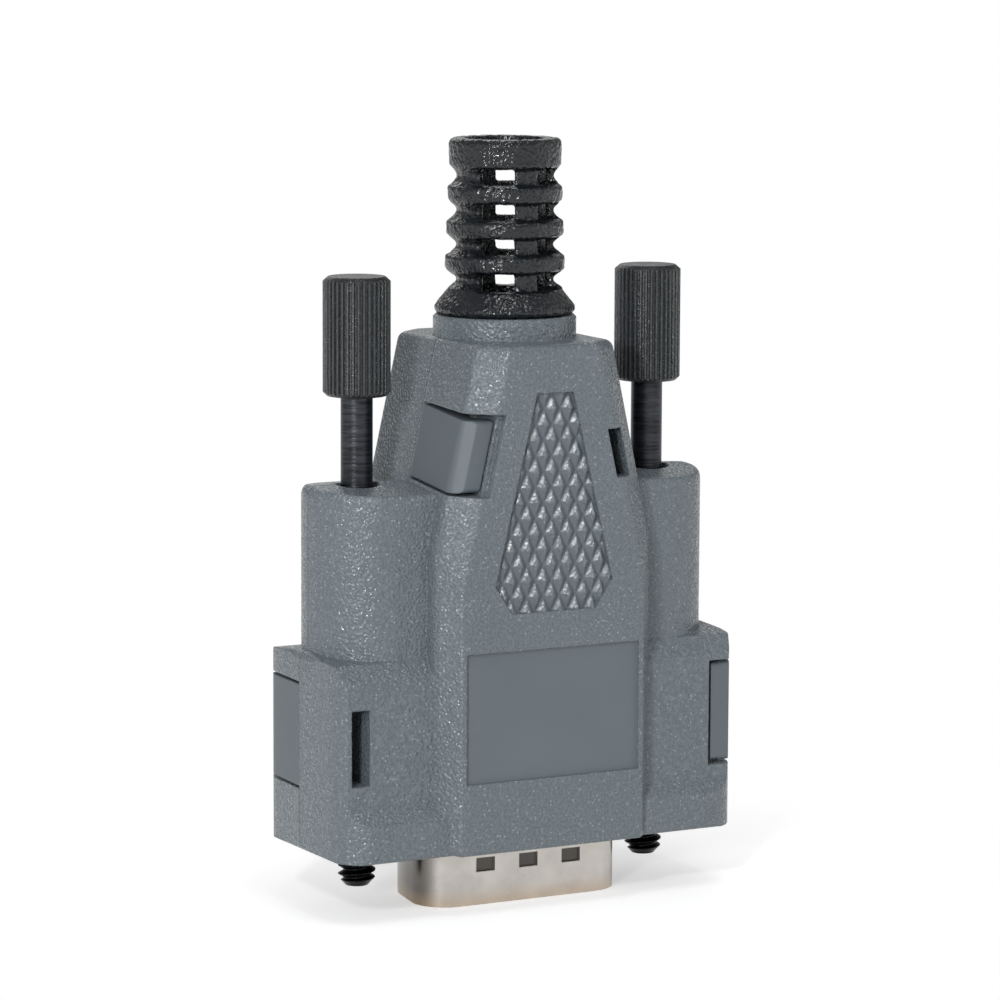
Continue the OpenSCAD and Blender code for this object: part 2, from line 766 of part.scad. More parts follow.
// Contact i: pin with a rounded nose, collar in the insulators, solder cup
module contact(i) {
    top = insulator_top + cup_h;
    color("#c9a84e") translate([pin_x(i), pin_y(i), 0]) difference() {
        rotate_extrude($fn = 32) polygon(rounded(
            [[0, pin_recess], [pin_d / 2, pin_recess], [pin_d / 2, insulator_split - 0.5],
                [pin_collar_d / 2, insulator_split - 0.5], [pin_collar_d / 2, insulator_top],
                [cup_d / 2, insulator_top], [cup_d / 2, top], [0, top]],
            [0, 0.42, 0, 0.1, 0, 0, 0.08, 0]));
        translate([0, 0, top - 2.3]) cylinder(d = cup_d - 0.7, h = cup_h);
        translate([-cup_d, pin_y(i) < 0 ? -cup_d : 0.2, top - 2]) cube([2 * cup_d, cup_d - 0.2, cup_h]);
    }
}

module contact_1() { contact(0); }
module contact_2() { contact(1); }
module contact_3() { contact(2); }
module contact_4() { contact(3); }
module contact_5() { contact(4); }
module contact_6() { contact(5); }
module contact_7() { contact(6); }
module contact_8() { contact(7); }
module contact_9() { contact(8); }

// --- Jackscrews ------------------------------------------------------------

// Rod with thread, shank, ring groove and the end that the knob is pressed on
module jackscrew_rod(side) {
    thread_top = tip_z + thread_h;
    groove_low = ring_z - clear;
    groove_high = ring_z + ring_t + clear;
    r = shank_d / 2;
    R = thread_d / 2;
    end = knob_z + rod_in_knob;
    color("#26292b") translate([side * shank_x, 0, 0]) rotate_extrude($fn = 48)
        polygon([[0, tip_z], [R - 0.35, tip_z], [R, tip_z + 0.35], [R, thread_top - 0.2],
            [r, thread_top], [r, groove_low], [groove_r, groove_low], [groove_r, groove_high],
            [r, groove_high], [r, end], [0, end]]);
}

module left_jackscrew_rod() { jackscrew_rod(-1); }
module right_jackscrew_rod() { jackscrew_rod(1); }

// Knob: straight ridges all round, chamfered ends, blind hole for the rod
module knob(side) {
    depth = 0.16;
    step = 360 / knob_ridges;
    r = knob_d / 2;
    chamfer = 0.4;
    color(knob_grey) translate([side * shank_x, 0, knob_z]) difference() {
        intersection() {
            linear_extrude(knob_h) polygon([for (i = [0:knob_ridges - 1])
                each [for (k = [[-0.28, -depth], [-0.12, 0], [0.18, 0], [0.34, -depth]])
                    (r + k[1]) * [cos((i + k[0]) * step), sin((i + k[0]) * step)]]]);
            rotate_extrude($fn = 96) polygon(rounded([[0, 0], [r - 0.3, 0], [r + 0.05, 0.35],
                [r + 0.05, knob_h - chamfer], [r - chamfer, knob_h], [0, knob_h]],
                [0, 0, 0, 0.2, 0.2, 0]));
        }
        translate([0, 0, -past]) cylinder(d = shank_d + 2 * bond, h = rod_in_knob + past + clear);
    }
}

module left_knob() { knob(-1); }
module right_knob() { knob(1); }

// Open spring ring in the rod's groove
module retaining_ring(side) {
    color("#8d9194") translate([side * shank_x, 0, ring_z]) difference() {
        cylinder(d = ring_d, h = ring_t);
        translate([0, 0, -past]) cylinder(r = groove_r + clear, h = ring_t + 2 * past);
        translate([-0.75, 0, -past]) cube([1.5, ring_d, ring_t + 2 * past]);
    }
}

module left_retaining_ring() { retaining_ring(-1); }
module right_retaining_ring() { retaining_ring(1); }

// --- Cable clamp -----------------------------------------------------------

saddle_r = boot_bore_r - 0.05;
clamp_screw_x = strap_l / 2 - 1.35;
strap_gap = 0.1;

// Formed strap: saddle round the cable and an ear on each side
module strap(hole_d) {
    low = clamp_z - strap_w / 2;
    outer = saddle_r + strap_t;
    color(nickel) difference() {
        union() {
            translate([0, 0, low]) cylinder(r = outer, h = strap_w);
            block([-strap_l / 2, -strap_gap - strap_t, low], [strap_l / 2, -strap_gap, low + strap_w]);
        }
        translate([0, 0, low - past]) cylinder(r = saddle_r, h = strap_w + 2 * past);
        block([-strap_l, -strap_gap, low - past], [strap_l, strap_l, low + strap_w + past]);
        for (side = [-1, 1]) translate([side * clamp_screw_x, past, clamp_z]) rotate([90, 0, 0])
            cylinder(d = hole_d, h = 4);
    }
}

module cable_clamp_front() { strap(clamp_screw_d + 0.2); }
module cable_clamp_rear() { rotate([0, 0, 180]) strap(clamp_screw_d + 2 * bond); }

// Two pan-head screws that pull the straps together
module clamp_screws() {
    head_y = -strap_gap - strap_t;
    color(nickel) for (side = [-1, 1]) translate([side * clamp_screw_x, 0, clamp_z])
        rotate([90, 0, 0]) difference() {
            rotate_extrude($fn = 32) polygon(rounded([[0, -2.4], [clamp_screw_d / 2, -2.4],
                [clamp_screw_d / 2, -head_y], [1.4, -head_y], [1.4, -head_y + 1.1],
                [0, -head_y + 1.1]], [0, 0.2, 0, 0, 0.4, 0]));
            translate([-0.2, -2, -head_y + 0.65]) cube([0.4, 4, 1]);
        }
}

front_shell();
rear_shell();
strain_relief_boot();
plug_front_shell();
plug_rear_shell();
front_insulator();
rear_insulator();
left_jackscrew_rod();
right_jackscrew_rod();
left_knob();
right_knob();
left_retaining_ring();
right_retaining_ring();
cable_clamp_front();
cable_clamp_rear();
clamp_screws();
contact_1();
contact_2();
contact_3();
contact_4();
contact_5();
contact_6();
contact_7();
contact_8();
contact_9();
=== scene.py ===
"""Visual model of a nine-way D-sub hood with its plug, boot and jackscrews.

Run as a script by Blender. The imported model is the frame: its nodes give
every place, and the pieces made here are worked out as numpy surfaces.
"""

import json
import math

import bmesh
import bpy
import numpy as np
from bpy.props import FloatProperty, FloatVectorProperty, PointerProperty, StringProperty
from mathutils import Matrix, Vector

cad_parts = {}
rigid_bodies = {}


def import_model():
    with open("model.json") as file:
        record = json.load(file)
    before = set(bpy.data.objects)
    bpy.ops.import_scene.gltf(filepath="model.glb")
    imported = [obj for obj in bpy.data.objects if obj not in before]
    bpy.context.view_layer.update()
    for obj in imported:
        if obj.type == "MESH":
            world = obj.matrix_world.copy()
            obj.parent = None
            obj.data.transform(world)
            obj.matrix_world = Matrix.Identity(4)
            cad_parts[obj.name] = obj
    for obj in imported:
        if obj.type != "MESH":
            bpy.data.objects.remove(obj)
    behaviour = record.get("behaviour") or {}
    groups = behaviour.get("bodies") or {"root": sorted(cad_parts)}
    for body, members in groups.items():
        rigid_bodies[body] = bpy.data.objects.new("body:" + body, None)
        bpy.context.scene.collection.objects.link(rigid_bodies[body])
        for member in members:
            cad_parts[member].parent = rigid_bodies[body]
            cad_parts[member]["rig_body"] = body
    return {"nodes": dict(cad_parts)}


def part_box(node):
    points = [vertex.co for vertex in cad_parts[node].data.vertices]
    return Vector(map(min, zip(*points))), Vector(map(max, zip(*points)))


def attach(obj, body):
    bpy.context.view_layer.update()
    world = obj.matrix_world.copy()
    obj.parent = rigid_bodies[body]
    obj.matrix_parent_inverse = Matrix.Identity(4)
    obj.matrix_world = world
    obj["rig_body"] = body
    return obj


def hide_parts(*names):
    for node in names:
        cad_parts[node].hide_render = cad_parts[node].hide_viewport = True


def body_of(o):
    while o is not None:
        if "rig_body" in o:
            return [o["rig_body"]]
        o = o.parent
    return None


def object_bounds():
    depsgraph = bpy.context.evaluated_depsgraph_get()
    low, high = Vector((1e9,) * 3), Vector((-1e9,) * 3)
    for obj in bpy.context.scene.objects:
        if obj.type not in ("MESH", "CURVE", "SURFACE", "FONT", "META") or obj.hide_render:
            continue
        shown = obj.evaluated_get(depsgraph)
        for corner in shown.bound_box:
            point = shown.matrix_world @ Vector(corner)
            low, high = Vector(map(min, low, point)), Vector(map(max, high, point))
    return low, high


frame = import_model()
CAD_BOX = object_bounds()

bl_info = {
    "name": "D-sub Hood",
    "version": (1, 0, 0),
    "blender": (4, 5, 0),
    "location": "View3D > Sidebar > Hood",
    "description": "Makes the surfaces, finishes and stage of a D-sub hood",
    "category": "Object",
}

MM = 0.001
TAU = 2 * math.pi

# Hood: depths are from the parting plane
LABEL_DEPTH = 7.6 * MM
PANEL_LOW_DEPTH, PANEL_HIGH_DEPTH = 5.9 * MM, 7.72 * MM
PANEL_FOOT = 22.3 * MM
# half width of the pyramid panel's outline at height 0, and its narrowing with height
PANEL_HALF_WIDTH, PANEL_LEAN = 8.9 * MM, 0.16
# the parting line changes from a groove to a ridge between these heights
SEAM_TURN = (31 * MM, 33 * MM)

# Plug: depth of its shell, pitch of its pressed dents and their height above the rim
PLUG_DEPTH = 8.36 * MM
DENT_PITCH = 3.69 * MM
DENT_HEIGHT = 3.1 * MM

# Jackscrew rods: radii, the gap beside the retaining ring, and the thread
SHANK_RADIUS, GROOVE_RADIUS = 1.2 * MM, 0.85 * MM
RING_GAP = 0.05 * MM
THREAD_LENGTH = 4.1 * MM
# the tip starts this much below the crest and widens with this slope
TIP_CHAMFER, TIP_SLOPE = 0.55 * MM, 0.9
# shares of a thread's half pitch: the flat crest, and the flank down to the root
CREST_SHARE, FLANK_SHARE = 0.12, 0.72

WELD = 1e-7
# smoothing passes that round the boot's edges, and rays that round a bevelled edge
BOOT_ROUNDS = 3
EDGE_RAYS = 6

MATH, NOISE, MIX = "ShaderNodeMath", "ShaderNodeTexNoise", "ShaderNodeMix"
RANGE, SMOOTH = "ShaderNodeMapRange", {"interpolation_type": "SMOOTHSTEP"}


# --- Small helpers ---------------------------------------------------------

def smoothstep(x, low, high):
    """0 below low, 1 above high, and the cubic 3t^2 - 2t^3 between."""
    t = np.clip((x - low) / (high - low), 0, 1)
    return t * t * (3 - 2 * t)


def linear(hex_text):
    """An sRGB hex colour as linear RGB with alpha 1."""
    channels = [int(hex_text.lstrip("#")[i:i + 2], 16) / 255 for i in (0, 2, 4)]
    return tuple(c / 12.92 if c <= 0.04045 else ((c + 0.055) / 1.055) ** 2.4 for c in channels) + (1,)


def shaded(colour, factor):
    """An sRGB hex colour in linear RGBA, made darker or lighter by factor."""
    return tuple(min(1.0, factor * c) for c in linear(colour)[:3]) + (1,)


def corners(node):
    """Low and high corner of a CAD node's box, in metres."""
    return tuple(np.array(corner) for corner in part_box(node))


def piece(name, points, faces, material, smooth=True):
    """A mesh object from arrays: points (n, 3) in metres and a list of face index arrays."""
    mesh = bpy.data.meshes.new(name)
    mesh.from_pydata(np.asarray(points).tolist(), [], [f for block in faces for f in block.tolist()])
    mesh.polygons.foreach_set("use_smooth", np.full(len(mesh.polygons), smooth))
    mesh.materials.append(material)
    mesh.validate()
    obj = bpy.data.objects.new(name, mesh)
    bpy.context.scene.collection.objects.link(obj)
    return obj


def merged(points, faces, name, material, angle):
    """A piece whose doubles are merged and whose edges sharper than angle stay sharp."""
    obj = piece(name, points, faces, material)
    bm = bmesh.new()
    bm.from_mesh(obj.data)
    bmesh.ops.remove_doubles(bm, verts=bm.verts, dist=WELD)
    bmesh.ops.recalc_face_normals(bm, faces=bm.faces)
    bm.to_mesh(obj.data)
    bm.free()
    obj.data.set_sharp_from_angle(angle=math.radians(angle))
    return obj


def add(tree, kind, inputs=(), **settings):
    """A node of that kind with its settings and inputs.

    inputs are values, sockets or nodes, in order or by key, and a node
    stands for its first output.
    """
    node = tree.nodes.new(kind)
    for key, value in settings.items():
        setattr(node, key, value)
    for key, value in inputs.items() if isinstance(inputs, dict) else enumerate(inputs):
        if isinstance(value, bpy.types.Node):
            value = value.outputs[0]
        if isinstance(value, bpy.types.NodeSocket):
            tree.links.new(value, node.inputs[key])
        else:
            node.inputs[key].default_value = value
    return node


def new_group(name):
    """An empty geometry node group with geometry in and out: (group, input node)."""
    group = bpy.data.node_groups.new(name, "GeometryNodeTree")
    for way in ("INPUT", "OUTPUT"):
        group.interface.new_socket("Geometry", in_out=way, socket_type="NodeSocketGeometry")
    return group, add(group, "NodeGroupInput")


def smooth_by_angle(angle):
    """Node group: doubles merged, then smooth shading with sharp edges above angle."""
    name = f"smooth by {angle} degrees"
    if name in bpy.data.node_groups:
        return bpy.data.node_groups[name]
    group, source = new_group(name)
    weld = add(group, "GeometryNodeMergeByDistance", {"Geometry": source, "Distance": WELD})
    faces = add(group, "GeometryNodeSetShadeSmooth", {0: weld, "Shade Smooth": True}, domain="FACE")
    bend = add(group, "GeometryNodeInputMeshEdgeAngle").outputs["Unsigned Angle"]
    sharp = add(group, "FunctionNodeCompare", (bend, math.radians(angle)), data_type="FLOAT",
                operation="GREATER_THAN")
    edges = add(group, "GeometryNodeSetShadeSmooth", {0: faces, "Selection": sharp, "Shade Smooth": False},
                domain="EDGE")
    add(group, "NodeGroupOutput", (edges,))
    return group


def sunk_grain(grain, depth):
    """Node group: each point sinks along its normal by up to depth, in cells grain across."""
    group, source = new_group("sunk grain")
    place = add(group, "GeometryNodeInputPosition")
    noise = add(group, NOISE, {"Vector": place, "Scale": 1 / grain, "Detail": 2.0})
    sunk = add(group, RANGE, (noise, 0.3, 0.7, -depth, 0.0))
    normal = add(group, "GeometryNodeInputNormal")
    offset = add(group, "ShaderNodeVectorMath", {0: normal, "Scale": sunk}, operation="SCALE")
    moved = add(group, "GeometryNodeSetPosition", {"Geometry": source, "Offset": offset})
    add(group, "NodeGroupOutput", (moved,))
    return group


def smooth_cad(node, material, angle=28, weighted=False):
    """A CAD node with its finish, shaded smooth across edges flatter than angle.

    weighted lets the large faces keep their own direction beside small rounding facets.
    """
    obj = frame["nodes"][node]
    obj.data.materials.clear()
    obj.data.materials.append(material)
    obj.modifiers.new("smooth by angle", "NODES").node_group = smooth_by_angle(angle)
    if weighted:
        obj.modifiers.new("weighted normals", "WEIGHTED_NORMAL").keep_sharp = True


def moulded_skin(node, material, cell, grain, depth):
    """A soft CAD node remade as a fine even skin with rounded edges and a real grain.

    cell is the skin's mesh size, and grain and depth the width and depth of
    its leathery grain.
    """
    obj = frame["nodes"][node]
    obj.data.materials.clear()
    obj.data.materials.append(material)
    skin = obj.modifiers.new("even skin", "REMESH")
    skin.mode = "VOXEL"
    skin.voxel_size = cell
    skin.use_smooth_shade = True
    edges = obj.modifiers.new("rounded edges", "SMOOTH")
    edges.factor = 0.5
    edges.iterations = BOOT_ROUNDS
    obj.modifiers.new("grain", "NODES").node_group = sunk_grain(grain, depth)


# --- Finishes --------------------------------------------------------------

def blank_material(name):
    """A new material and its empty node tree."""
    material = bpy.data.materials.new(name)
    material.use_nodes = True
    material.node_tree.nodes.clear()
    return material, material.node_tree


def finished(material, inputs):
    """The material, with its surface made of those inputs."""
    shader = add(material.node_tree, "ShaderNodeBsdfPrincipled", inputs)
    add(material.node_tree, "ShaderNodeOutputMaterial", (shader,))
    return material


def where(tree, *tests):
    """1 where every test (value, comparison, limit) holds, else 0."""
    result = 1.0
    for value, comparison, limit in tests:
        passed = add(tree, MATH, (value, limit), operation=comparison)
        result = add(tree, MATH, (result, passed), operation="MULTIPLY")
    return result


def product(tree, *factors):
    """All the factors multiplied together."""
    result = factors[0]
    for factor in factors[1:]:
        result = add(tree, MATH, (result, factor), operation="MULTIPLY")
    return result


def layered(tree, skin, *layers):
    """The colour skin under layers, each (where it lies, how strong it is, its colour)."""
    for area, strength, colour in layers:
        cover = product(tree, area, strength)
        skin = add(tree, MIX, {0: cover, 6: skin, 7: colour}, data_type="RGBA").outputs[2]
    return skin


def eroded_abs(name, colour, half):
    """Grey ABS moulded in a spark-eroded tool.

    The eye sees a dull skin of rounded grain with sparks of gloss, a smooth
    label recess and smooth snap tabs, a glossier pyramid panel, and the fine
    ridge of the parting line. half is -1 for the front shell and 1 for the rear.
    """
    material, tree = blank_material(name)
    settings = bpy.context.scene.hood_finish
    grain = settings.grain_width
    place = add(tree, "ShaderNodeTexCoord").outputs["Object"]
    x, y, z = add(tree, "ShaderNodeSeparateXYZ", (place,)).outputs
    out = add(tree, MATH, (y, float(half)), operation="MULTIPLY")
    across = add(tree, MATH, (x,), operation="ABSOLUTE")
    off_seam = add(tree, MATH, (y,), operation="ABSOLUTE")

    # smooth areas: the label recess, and what reaches over the parting plane
    rise = add(tree, MATH, (z, settings.label_middle), operation="SUBTRACT")
    rise = add(tree, MATH, (rise,), operation="ABSOLUTE")
    label = where(tree, (across, "LESS_THAN", settings.label_width / 2),
                  (rise, "LESS_THAN", settings.label_height / 2), (out, "GREATER_THAN", LABEL_DEPTH))
    # painted shade: the snap tabs are also darker in the colour, further down
    tab = where(tree, (out, "LESS_THAN", -0.02 * MM))
    smooth = add(tree, MATH, (label, tab), operation="MAXIMUM")
    # the pyramid panel lies below the front face, between the bevels
    lean = add(tree, MATH, (z, PANEL_LEAN, across), operation="MULTIPLY_ADD")
    panel = where(tree, (out, "LESS_THAN", PANEL_HIGH_DEPTH), (out, "GREATER_THAN", PANEL_LOW_DEPTH),
                  (z, "GREATER_THAN", PANEL_FOOT), (lean, "LESS_THAN", PANEL_HALF_WIDTH))
    plain = add(tree, MATH, (smooth, panel), operation="MAXIMUM")
    rough = add(tree, MATH, (1.0, plain), operation="SUBTRACT")

    # rounded pebbles on a slow orange-peel
    coarse = add(tree, NOISE, {"Vector": place, "Scale": 1 / grain, "Detail": 0.0})
    peel = add(tree, NOISE, {"Vector": place, "Scale": 1 / (3 * grain), "Detail": 0.0})
    relief = add(tree, MATH, (peel, 0.5, coarse), operation="MULTIPLY_ADD")
    depth = add(tree, MATH, (rough, 0.95, 0.05), operation="MULTIPLY_ADD")
    depth = add(tree, MATH, (panel, 0.15, depth), operation="MULTIPLY_ADD")
    height = product(tree, relief, depth)
    # parting line: a ridge above the barrels, where the halves meet flush, and unrounded there
    above = add(tree, RANGE, (z, *SEAM_TURN), **SMOOTH)
    below = add(tree, MATH, (1.0, above), operation="SUBTRACT")
    ridge_and_highlight = product(tree, add(tree, RANGE, (off_seam, 0.16 * MM, 0.03 * MM), **SMOOTH), above)
    height = add(tree, MATH, (ridge_and_highlight, 1.6, height), operation="MULTIPLY_ADD")
    flush = product(tree, add(tree, RANGE, (off_seam, 0.3 * MM, 0.22 * MM), **SMOOTH), above)
    edge = add(tree, MATH, (1.0, flush), operation="SUBTRACT")
    radius = add(tree, MATH, (panel, 0.06 * MM, 0.18 * MM), operation="MULTIPLY_ADD")
    rounded = add(tree, "ShaderNodeBevel", {"Radius": product(tree, radius, edge)}, samples=EDGE_RAYS)
    normal = add(tree, "ShaderNodeBump",
                 {"Height": height, "Distance": settings.grain_depth, "Normal": rounded})

    # the grain's tips are paler than its pits, and the colour drifts a little
    tips = add(tree, RANGE, (coarse, 0.38, 0.68), **SMOOTH)
    drift = add(tree, NOISE, {"Vector": place, "Scale": 1 / (6 * MM), "Detail": 3.0})
    tone = add(tree, MATH, (product(tree, tips, rough), 0.55, product(tree, drift, 0.4)),
               operation="MULTIPLY_ADD")
    # about a third of the cells are polished, and a few of their tips are painted paler, as glints
    cells = add(tree, "ShaderNodeTexVoronoi", {"Vector": place, "Scale": 1 / (0.9 * grain)})
    chance = add(tree, "ShaderNodeSeparateColor", (cells.outputs["Color"],)).outputs[0]
    core = add(tree, RANGE, (cells.outputs["Distance"], 0.5, 0.2), **SMOOTH)
    glint_speck = product(tree, add(tree, RANGE, (chance, 0.86, 0.93), **SMOOTH), rough, core)
    # painted shade: the parting line's groove below the barrels is darker in the colour
    groove_shade = product(tree, add(tree, RANGE, (off_seam, 0.1 * MM, 0.02 * MM), **SMOOTH), below)
    # painted highlight: the parting line's ridge above the barrels is also lighter in the colour
    skin = layered(tree, shaded(colour, 0.84), (tone, 1.0, shaded(colour, 1.2)),
                   (groove_shade, 0.5, shaded(colour, 0.35)), (ridge_and_highlight, 0.6, shaded(colour, 1.5)),
                   (tab, 0.6, shaded(colour, 0.78)), (glint_speck, 0.5, linear("#b4bbbf")))

    spark = product(tree, add(tree, RANGE, (chance, 0.55, 0.65), **SMOOTH), rough)
    gloss = 0.34
    for area, change in ((spark, -0.2), (smooth, 0.14), (panel, -0.16), (drift, 0.06)):
        gloss = add(tree, MATH, (area, change, gloss), operation="MULTIPLY_ADD")
    return finished(material, {"Base Color": skin, "Roughness": gloss, "Normal": normal})


def flecked(name, colour, roughness, grain, depth, glint_flecks=0.0, detail=2.0, rounding=0.08 * MM, knob=None):
    """Moulded dark plastic or rubber: soft grain of that width and depth, with paler flecks as painted
    glints.

    knob is (distance of the axes from the middle, radius of the ridges) of a
    pair of ridged knobs, whose grooves are in deep shade.
    """
    material, tree = blank_material(name)
    place = add(tree, "ShaderNodeTexCoord").outputs["Object"]
    soft = add(tree, NOISE, {"Vector": place, "Scale": 1 / grain, "Detail": detail, "Roughness": 0.55})
    sharp = add(tree, NOISE, {"Vector": place, "Scale": 1 / (0.45 * grain), "Detail": 1.0})
    drift = add(tree, NOISE, {"Vector": place, "Scale": 1 / (5 * MM), "Detail": 3.0})
    fine = 0.4 if detail else 0.0
    height = add(tree, MATH, (sharp, fine, soft), operation="MULTIPLY_ADD")
    bump = {"Height": height, "Distance": depth}
    if rounding:
        bump["Normal"] = add(tree, "ShaderNodeBevel", {"Radius": rounding}, samples=EDGE_RAYS)
    normal = add(tree, "ShaderNodeBump", bump)

    tips = add(tree, RANGE, (soft, 0.4, 0.68), **SMOOTH)
    tone = add(tree, MATH, (tips, 0.6, product(tree, drift, 0.4)), operation="MULTIPLY_ADD")
    skin = layered(tree, shaded(colour, 0.6), (tone, 1.0, shaded(colour, 1.45)))
    if knob:
        aside, ridges = knob
        x, y, _ = add(tree, "ShaderNodeSeparateXYZ", (place,)).outputs
        across = add(tree, MATH, (x,), operation="ABSOLUTE")
        across = add(tree, MATH, (across, aside), operation="SUBTRACT")
        spoke = add(tree, "ShaderNodeCombineXYZ", (across, y))
        spoke = add(tree, "ShaderNodeVectorMath", (spoke,), operation="LENGTH").outputs["Value"]
        groove_shade = add(tree, RANGE, (spoke, ridges - 0.04 * MM, ridges - 0.14 * MM), **SMOOTH)
        skin = layered(tree, skin, (groove_shade, 0.85, shaded(colour, 0.12)))
    # painted glints: paler flecks on the peaks of the sharp grain
    glint_fleck = add(tree, RANGE, (sharp, 0.66, 0.74), **SMOOTH)
    skin = layered(tree, skin, (glint_fleck, glint_flecks, linear("#b9bcbe")))
    gloss = add(tree, MATH, (tips, -0.16, roughness + 0.06), operation="MULTIPLY_ADD")
    return finished(material, {"Base Color": skin, "Roughness": gloss, "Normal": normal})


def nickel_plate(name, colour):
    """Nickel plate on drawn sheet steel: warm, with a soft gloss and faint draw lines.

    The eye sees it yellower near the cut rim, and dark with painted shade in the pressed
    dents and round the bends at both ends.
    """
    material, tree = blank_material(name)
    place = add(tree, "ShaderNodeTexCoord").outputs["Object"]
    x, y, z = add(tree, "ShaderNodeSeparateXYZ", (place,)).outputs
    across = add(tree, MATH, (x,), operation="ABSOLUTE")
    stretched = add(tree, "ShaderNodeMapping", {"Vector": place, "Scale": (1.0, 1.0, 0.1)})
    lines = add(tree, NOISE, {"Vector": stretched, "Scale": 1 / (0.22 * MM), "Detail": 2.0})
    cloud = add(tree, NOISE, {"Vector": place, "Scale": 1 / (2.2 * MM), "Detail": 3.0})

    # three dents on each long side, painted dark as shade: within half a height, half a width and the
    # shell's depth
    outward = add(tree, MATH, (y,), operation="ABSOLUTE")
    inside = add(tree, RANGE, (outward, PLUG_DEPTH / 2 - 0.06 * MM, PLUG_DEPTH / 2 - 0.14 * MM), **SMOOTH)
    rise = add(tree, MATH, (z, corners("plug_front_shell")[0][2] + DENT_HEIGHT), operation="SUBTRACT")
    rise = add(tree, MATH, (rise,), operation="ABSOLUTE")
    level = add(tree, RANGE, (rise, 0.56 * MM, 0.5 * MM), **SMOOTH)
    # 100 whole pitches keep x above 0, and the half pitch puts a dent at x = 0
    shifted = add(tree, MATH, (x, 100.5 * DENT_PITCH), operation="ADD")
    shifted = add(tree, MATH, (shifted, DENT_PITCH / 2), operation="PINGPONG")
    aside = add(tree, MATH, (DENT_PITCH / 2, shifted), operation="SUBTRACT")
    column = add(tree, RANGE, (aside, 0.84 * MM, 0.78 * MM), **SMOOTH)
    middle_three = where(tree, (across, "LESS_THAN", 1.5 * DENT_PITCH))
    dent_shade = product(tree, level, column, middle_three, inside)

    clouded = add(tree, RANGE, (cloud, 0.3, 0.7), **SMOOTH)
    # painted shade: darker round the bends at both ends
    bend = add(tree, RANGE, (across, 7.3 * MM, 8.3 * MM), **SMOOTH)
    rim = add(tree, RANGE, (z, 1.4 * MM, 0.2 * MM), **SMOOTH)
    skin = layered(tree, shaded(colour, 0.86), (clouded, 1.0, shaded(colour, 1.04)),
                   (dent_shade, 0.88, linear("#2a2725")), (bend, 0.8, linear("#4a4643")),
                   (rim, 0.35, linear("#c9ab86")))
    gloss = add(tree, MATH, (lines, 0.05, 0.2), operation="MULTIPLY_ADD")
    gloss = add(tree, MATH, (cloud, 0.14, gloss), operation="MULTIPLY_ADD")
    height = add(tree, MATH, (lines, 0.25, cloud), operation="MULTIPLY_ADD")
    rounded = add(tree, "ShaderNodeBevel", {"Radius": 0.12 * MM}, samples=EDGE_RAYS)
    normal = add(tree, "ShaderNodeBump", {"Height": height, "Distance": 0.02 * MM, "Normal": rounded})
    return finished(material, {"Base Color": skin, "Metallic": 1.0, "Roughness": gloss, "Normal": normal})


def turned_metal(name, colour, roughness, metallic=1.0, depth=0.02 * MM, dark_below=None):
    """Turned or drawn metal: fine rings round the axis show as streaks of gloss and of painted sheen.

    Below a given height it is nearly black and glossier.
    """
    material, tree = blank_material(name)
    place = add(tree, "ShaderNodeTexCoord").outputs["Object"]
    stretched = add(tree, "ShaderNodeMapping", {"Vector": place, "Scale": (0.1, 0.1, 1.0)})
    rings = add(tree, NOISE,
                {"Vector": stretched, "Scale": 1 / (0.2 * MM), "Detail": 2.0, "Roughness": 0.6})
    # painted sheen: the rings also make lighter and darker streaks in the colour
    sheen_streaks = add(tree, RANGE, (rings, 0.3, 0.7), **SMOOTH)
    skin = layered(tree, shaded(colour, 0.6), (sheen_streaks, 1.0, shaded(colour, 1.5)))
    gloss = add(tree, MATH, (rings, 0.3, roughness - 0.12), operation="MULTIPLY_ADD")
    if dark_below:
        z = add(tree, "ShaderNodeSeparateXYZ", (place,)).outputs[2]
        dark_part = add(tree, RANGE, (z, dark_below + 0.5 * MM, dark_below), **SMOOTH)
        skin = layered(tree, skin, (dark_part, 1.0, linear("#1a1b1d")))
        gloss = add(tree, MATH, (dark_part, -0.08, gloss), operation="MULTIPLY_ADD")
    normal = add(tree, "ShaderNodeBump", {"Height": rings, "Distance": depth})
    return finished(material, {"Base Color": skin, "Metallic": metallic, "Roughness": gloss,
                               "Normal": normal})


# --- Sizes and colours a user would change ---------------------------------

class HoodFinish(bpy.types.PropertyGroup):
    """Colours and smooth areas of the hood."""

    hood_colour: StringProperty(name="Hood", description="Colour of the half shells", default="#666f75")
    boot_colour: StringProperty(name="Boot", description="Colour of the strain-relief boot",
                                default="#171b1f")
    knob_colour: StringProperty(name="Knobs", description="Colour of the jackscrew knobs", default="#3a3e41")
    plate_colour: StringProperty(name="Plate", description="Colour of the nickel plate", default="#c4bfb9")
    label_width: FloatProperty(name="Label width", description="Width of the smooth label recess",
                               default=14.7 * MM, unit="LENGTH")
    label_height: FloatProperty(name="Label height", description="Height of the smooth label recess",
                                default=9.8 * MM, unit="LENGTH")
    label_middle: FloatProperty(name="Label middle", description="Height of the label recess's middle",
                                default=15.03 * MM, unit="LENGTH")
    grain_width: FloatProperty(name="Grain width", description="Width of the hood's spark-eroded grain",
                               default=0.21 * MM, unit="LENGTH", precision=5)
    grain_depth: FloatProperty(name="Grain depth", description="Depth of the hood's spark-eroded grain",
                               default=0.1 * MM, unit="LENGTH", precision=5)


